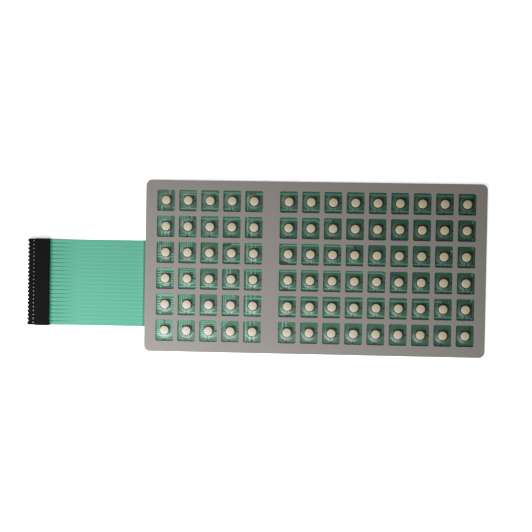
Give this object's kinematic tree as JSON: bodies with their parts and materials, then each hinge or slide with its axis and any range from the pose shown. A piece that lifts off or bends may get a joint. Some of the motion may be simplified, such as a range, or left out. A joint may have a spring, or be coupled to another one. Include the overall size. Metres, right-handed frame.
{
  "type": "membrane keypad",
  "caption": "Flat membrane keypad with domed keys behind a grey window frame, cream key dots, and a green flexible tail ending in a black crimped connector.",
  "frame": {"origin": "middle of the panel's flat rear face, on the release paper", "axes": "+X along the panel's long side to the right, with the tail leaving at -X; +Y up over the key rows; +Z out of the key side"},
  "size_m": [0.2965, 0.1116, 0.0034],
  "materials": {
    "release_paper": "smooth silicone-coated paper",
    "adhesive": "acrylic adhesive film",
    "circuit_film": "green coated polyester film",
    "tail_tracks": "silver print under green lacquer",
    "green_lacquer": "green insulating lacquer",
    "key_tracks": "silver print under green lacquer",
    "carbon_ink": "carbon print",
    "spacer_film": "clear polyester spacer with adhesive",
    "dome_film": "clear embossed polyester",
    "frame_sheet": "fine textured grey sheet",
    "key_dots": "matt cream plastic",
    "connector_plastic": "black moulded plastic",
    "contact_metal": "tin-plated sheet metal"
  },
  "bodies": {
    "root": {"release_paper": "release_paper", "rear_adhesive": "adhesive", "circuit_film": "circuit_film", "tail_tracks": "tail_tracks", "green_lacquer": "green_lacquer", "key_tracks": "key_tracks", "carbon_contacts": "carbon_ink", "spacer": "spacer_film", "dome_film": "dome_film", "upper_contacts": "carbon_ink", "frame_adhesive": "adhesive", "window_frame": "frame_sheet", "key_dots_row_1": "key_dots", "key_dots_row_2": "key_dots", "key_dots_row_3": "key_dots", "key_dots_row_4": "key_dots", "key_dots_row_5": "key_dots", "key_dots_row_6": "key_dots", "connector_housing": "connector_plastic", "contact_01": "contact_metal", "contact_02": "contact_metal", "contact_03": "contact_metal", "contact_04": "contact_metal", "contact_05": "contact_metal", "contact_06": "contact_metal", "contact_07": "contact_metal", "contact_08": "contact_metal", "contact_09": "contact_metal", "contact_10": "contact_metal", "contact_11": "contact_metal", "contact_12": "contact_metal", "contact_13": "contact_metal", "contact_14": "contact_metal", "contact_15": "contact_metal", "contact_16": "contact_metal", "contact_17": "contact_metal", "contact_18": "contact_metal", "contact_19": "contact_metal", "contact_20": "contact_metal", "contact_21": "contact_metal", "contact_22": "contact_metal"}
  },
  "joints": []
}
